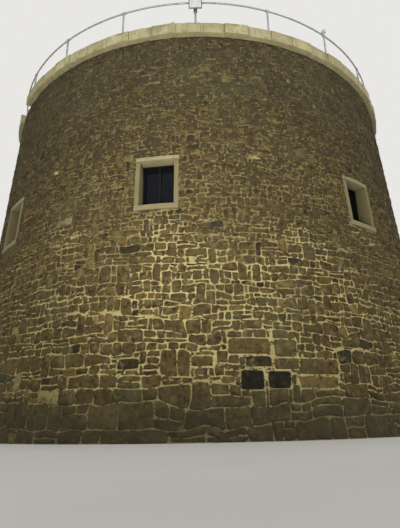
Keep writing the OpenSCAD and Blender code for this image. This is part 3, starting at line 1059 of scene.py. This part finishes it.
def dress_door(planks_material, iron_material):
    """Planks between the jambs, with two straps, their studs and a pull ring."""
    rng = np.random.default_rng(DOOR_SEED)
    angle, low, high = extent(solids("door_leaf")[0])
    out, foot, head = high[1], low[2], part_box("lintel_stones")[0].z
    half = min(OPENINGS, key=lambda opening: opening[2])[1] - DOOR_JAMB_W
    width = 2 * half / PLANKS
    planks, iron = Parts(), Parts()
    face = placed_by(at_angle(angle, out, 0))

    def on_leaf(across, up, depth):
        return face(across, -depth, up)

    for k in range(PLANKS):
        ring = rectangle(-half + k * width + SIDE_GAP, -half + (k + 1) * width - SIDE_GAP,
                         foot + END_GAP, head - END_GAP)
        add_relief(planks, rng, ring, on_leaf, proud=PLANK_PROUD, bevel=0.004, sunk=0.002, rough=0.0004,
                   shade=rng.uniform(0, 1))
    for z in (foot + STRAP_IN, head - STRAP_IN):
        add_relief(iron, rng, strap_outline(half, z), on_leaf,
                   proud=PLANK_PROUD + STRAP_T, bevel=0.003, sunk=-PLANK_PROUD, rough=0)
        for k in range(PLANKS):
            stud = at_angle(angle, out + PLANK_PROUD + STUD_LIFT, z) @ shift(-half + (k + 0.5) * width)
            add_turning(iron, STUD, stud @ turn(90, "X"), 12, rim=1)
    pull = at_angle(angle, out + PLANK_PROUD + RING_LIFT, (foot + head) / 2) @ shift(half - RING_IN)
    section = [(RING_R + WIRE_R * math.cos(t), WIRE_R * math.sin(t)) for t in np.linspace(0, 2 * math.pi, 9)]
    add_turning(iron, section, pull @ turn(90, "X"), 28, rim=1)
    planks.build("door_planks", planks_material, "door_paint")
    iron.build("door_ironwork", iron_material, "door_paint", sharp=40)


# Guard rail. A bore is the radius of rail or post with a small clearance
SHARP_METAL = 35
RAIL_BORE, POST_BORE, SLEEVE_R, CHAMFER = 0.0225, 0.0245, 0.031, 0.002
# Half a tee's length, and the ends of a post's sleeve under and over the rail's centre
HALF_TEE, SLEEVE_UNDER, SLEEVE_OVER = 0.055, 0.045, 0.028
# Cap from the post's head, bead and bolts from the coping: radius and height
CAP = ((POST_BORE, -0.004), (0.026, 0), (0.018, 0.009), (TIP, 0.012))
BEAD = ((0.034, 0.010), (0.030, 0.015), (POST_BORE, 0.020))
BOLT = ((0.011, 0), (0.011, 0.008), (0.009, 0.010), (TIP, 0.010))
BOLTS, BOLT_RING_R, PLATE_T = 4, 0.048, 0.010


def sleeve(bore, low, high):
    """Profile of a sleeve on a tube, between two heights."""
    return [(bore, low), (SLEEVE_R, low + CHAMFER), (SLEEVE_R, high - CHAMFER), (bore, high)]


def dress_rail(material):
    """Sleeves where the rail meets its posts, caps, and the bolts and beads of the foot plates."""
    parts = Parts()
    rail_z = (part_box("guard_rail")[0].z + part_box("guard_rail")[1].z) / 2
    for points in solids("rail_posts"):
        angle, low, high = extent(points)
        out, foot, head = (low[1] + high[1]) / 2, low[2], high[2]
        along = at_angle(angle, out, rail_z) @ turn(90, "Y") @ shift(z=-HALF_TEE)
        add_turning(parts, sleeve(RAIL_BORE, 0, 2 * HALF_TEE), along)
        upright = at_angle(angle, out, foot)
        level = rail_z - foot
        add_turning(parts, sleeve(POST_BORE, level - SLEEVE_UNDER, level + SLEEVE_OVER), upright)
        add_turning(parts, [(r, head - foot + z) for r, z in CAP], upright)
        add_turning(parts, BEAD, upright)
        for k in range(BOLTS):
            bolt = upright @ turn(45 + 360 / BOLTS * k, "Z") @ shift(BOLT_RING_R, 0, PLATE_T)
            add_turning(parts, BOLT, bolt, 6)
    parts.build("rail_fittings", material, "rail_steel", sharp=SHARP_METAL)


# Small lamps, from the back: radius and length as shares of the CAD drum's, inside which the rim stays. The
# dome's lengths are in metres
DOME = ((0.55, 0.002), (0.78, 0.012), (0.86, 0.03))
DRUM = ((0.88, 0.62), (1, 0.66), (1, 0.80), (0.93, 0.84), (0.93, 1), (0.86, 1), (0.84, 0.9))
LENS = ((0.86, 0.88), (0.7, 0.93), (0.4, 0.965))
RIM_INSIDE = 0.0005
STEM = ((TIP, 0), (0.024, 0), (0.024, 0.006), (0.014, 0.010))
SCREW = ((0.004, 0), (0.003, 0.001), (TIP, 0.001))
SCREWS = 6


def dress_small_lamps(body_material, lens_material):
    bodies, lenses = Parts(), Parts()
    for points in solids("rail_lamps"):
        angle, low, high = extent(points)
        r, length, foot = (high[0] - low[0]) / 2, high[1] - low[1], low[2]
        back = at_angle(angle, low[1], high[2] - r) @ turn(90, "X")
        drum = [(TIP, 0)] + [(x * r, z) for x, z in DOME]
        drum += [(min(x * r, r - RIM_INSIDE), z * length) for x, z in DRUM]
        add_turning(bodies, drum, back, 40)
        lens = [(x * r, z * length) for x, z in LENS] + [(TIP, 0.98 * length)]
        add_turning(lenses, lens, back, 40)
        neck = high[2] - 2 * r - foot
        stem = list(STEM) + [(0.014, neck + 0.01), (0.022, neck + 0.02)]
        add_turning(bodies, stem, at_angle(angle, (low[1] + high[1]) / 2, foot))
        for k in range(SCREWS):
            screw = back @ turn(360 / SCREWS * k, "Z") @ shift(0.9 * r, 0, length - 0.001)
            add_turning(bodies, SCREW, screw, 8)
    bodies.build("small_lamp_bodies", body_material, "lamp_housing", SHARP_METAL, ["rail_lamps"])
    lenses.build("small_lamp_lenses", lens_material, "lamp_housing")


# Flood lamp: width, depth and height, lean in degrees, and its middle over the coping and before its post
FLOOD_SEED = 41
FLOOD_SIZE = (0.32, 0.11, 0.23)
FLOOD_LEAN, FLOOD_UP, FLOOD_OUT, FINS = 25, 0.52, 0.19, 9
# The clamp's two halves, its bolts through both, and the arm
CLAMP_SIZE, CLAMP_OUT = (0.09, 0.03, 0.06), 0.030
CLAMP_BOLT = ((TIP, -0.001), (0.008, -0.001), (0.008, 0.002), (0.004, 0.002), (0.004, 0.088),
              (0.008, 0.088), (0.008, 0.091), (TIP, 0.091))
BOLT_X, BOLT_Y = 0.036, 0.046
ARM_R, ARM_START = 0.013, 0.044


def dress_flood_lamp(body_material, lens_material):
    """A rim, shell, cooling fins and side plates, on an arm that is clamped round the front post."""
    rng = np.random.default_rng(FLOOD_SEED)
    body, lens = Parts(), Parts()
    width, depth, height = FLOOD_SIZE
    post = at_angle(0, RAIL_R, COPING_Z + FLOOD_UP)
    housing = post @ shift(0, -FLOOD_OUT) @ turn(FLOOD_LEAN, "X")

    def block(matrix, size, at, radius, parts=body, cells=(2, 2, 2)):
        corner = matrix @ shift(*(Vector(at) - Vector(size) / 2))
        add_block(parts, rng, size, cells, placed_by(corner), radius)

    block(housing, (width, 0.03, height), (0, -depth / 2 + 0.019, 0), 0.006)
    block(housing, (width - 0.03, 0.05, height - 0.03), (0, -0.002, 0), 0.012)
    for k in range(FINS):
        x = (k - (FINS - 1) / 2) * (width - 0.06) / (FINS - 1)
        block(housing, (0.006, 0.035, height - 0.05), (x, depth / 2 - 0.018, 0), 0.002)
    for side in (-1, 1):
        block(housing, (0.008, 0.045, 0.09), (side * (width / 2 - 0.004), 0.012, 0), 0.003)
    for side in (-1, 1):
        block(post, CLAMP_SIZE, (0, side * CLAMP_OUT, 0), 0.005)
    for side in (-1, 1):
        add_turning(body, CLAMP_BOLT, post @ shift(side * BOLT_X, BOLT_Y) @ turn(90, "X"), 12)
    add_turning(body, [(ARM_R, 0), (ARM_R, FLOOD_OUT - 0.09)], post @ turn(90, "X") @ shift(z=ARM_START))
    block(housing, (width - 0.04, 0.004, height - 0.04), (0, -depth / 2 + 0.003, 0), 0.0015, lens, (4, 1, 4))
    body.build("flood_lamp_body", body_material, "flood_lamp_housing", SHARP_METAL, ["flood_lamp"])
    lens.build("flood_lamp_glass", lens_material, "flood_lamp_housing")


# Studio

WORLD_STRENGTH = 0.45
# Sun lamps: name, direction, strength, and angle across in degrees
SUNS = (("key", (-0.85, 0.85, -0.58), 1.0, 14), ("fill", (0.9, 0.8, -0.2), 0.45, 40),
        ("rear", (0.2, -1.0, -0.5), 1.4, 30))
# A soft lamp low in front, as in the photograph
UPLIGHT_AT = Vector((-1.0, -12.5, 0.25))
UPLIGHT_AIM = Vector((0, -5.5, 7.5))
UPLIGHT_SIZE = (5, 0.8)
UPLIGHT_POWER = 225
UPLIGHT_SPREAD = 90
HALF_FLOOR = 120


def add_world():
    """Light from all round, and a pale backdrop that only the camera, metal and glass meet."""
    world = bpy.data.worlds.new("studio")
    bpy.context.scene.world = world
    world.use_nodes = True
    tree = world.node_tree
    surround = tree.nodes["Background"]
    surround.inputs["Color"].default_value = paint(255, 253, 248)
    surround.inputs["Strength"].default_value = WORLD_STRENGTH
    backdrop = add_node(tree, "Background", 0, (), {"Color": paint(232, 231, 228)})
    path = add_node(tree, "LightPath").node.outputs
    seen = path["Is Camera Ray"]
    for ray in ("Is Glossy Ray", "Is Transmission Ray"):
        seen = add_node(tree, "Math", 0, {"operation": "MAXIMUM"}, {0: seen, 1: path[ray]})
    choose = add_node(tree, "MixShader", 0, (), {0: seen, 1: surround.outputs[0], 2: backdrop})
    tree.links.new(choose, tree.nodes["World Output"].inputs["Surface"])


def add_light(name, kind, direction, energy):
    lamp = add_object(name, bpy.data.lights.new(name, kind))
    lamp.data.energy = energy
    lamp.rotation_euler = Vector(direction).to_track_quat("-Z", "Y").to_euler()
    return lamp


def add_lights():
    for name, direction, strength, across in SUNS:
        add_light(name, "SUN", direction, strength).data.angle = math.radians(across)
    uplight = add_light("uplight", "AREA", UPLIGHT_AIM - UPLIGHT_AT, UPLIGHT_POWER)
    uplight.location = UPLIGHT_AT
    uplight.visible_camera = False
    uplight.data.shape = "RECTANGLE"
    uplight.data.size, uplight.data.size_y = UPLIGHT_SIZE
    uplight.data.spread = math.radians(UPLIGHT_SPREAD)


def add_floor():
    mesh = bpy.data.meshes.new("studio_floor")
    ring = rectangle(-HALF_FLOOR, HALF_FLOOR, -HALF_FLOOR, HALF_FLOOR)
    mesh.from_pydata([(x, y, 0) for x, y in ring], [], [(0, 1, 2, 3)])
    look = Look("studio_floor", 0.9)
    colour = look.ramp(look.noise(0.6, 2), (0.3, 222, 221, 218), (0.7, 226, 225, 222))
    mesh.materials.append(look.finish(colour))
    add_object("studio_floor", mesh)


# All together

def give(material, *starts):
    """A material for each CAD node whose name starts so."""
    for name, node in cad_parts.items():
        if name.startswith(starts):
            node.data.materials.clear()
            node.data.materials.append(material)


def dress_tower():
    stone, mortar, dressed, steel = rubble_look(), mortar_look(), dressed_look(), steel_look()
    boards = timber_look("floor_boards", (72, 50, 32), (128, 96, 64), "x", 0.7)
    joinery = timber_look("casement_paint", (13, 13, 13), (24, 23, 22), "z", 0.6, Specular_IOR_Level=0.15)
    planks = timber_look("door_paint", (48, 34, 24), (84, 60, 40), "z", 0.65)
    give(mortar, "lower_wall", "upper_wall", "parapet", "window_piers", "roof_vault")
    give(dressed, "coping", "sill", "jamb", "lintel")
    give(bedding_look(), "roof_platform")
    give(boards, "first_floor")
    give(joinery, "casement")
    give(glass_look(), "window_glass")
    give(planks, "door_leaf")
    give(steel, "guard_rail", "rail_posts")
    dress_outer_wall(stone)
    dress_parapet_inside(stone)
    dress_coping(dressed)
    dress_gap(stone)
    dress_surrounds(dressed)
    lay_rows("roof_flags", paving_look(), "paving_stone", PLATFORM_Z, PLATFORM_R, **FLAGS)
    lay_rows("floor_board_tops", boards, "floor_boards", FLOOR_Z, FLOOR_R, **BOARDS)
    dress_door(planks, iron_look())
    dress_rail(steel)
    lens = lens_look()
    dress_small_lamps(enamel_look("lamp_housing", (196, 192, 178), (150, 146, 132)), lens)
    dress_flood_lamp(enamel_look("flood_lamp_housing", (92, 98, 102), (66, 70, 72)), lens)


dress_tower()
add_world()
add_lights()
add_floor()
bpy.context.scene.view_settings.view_transform = "Standard"
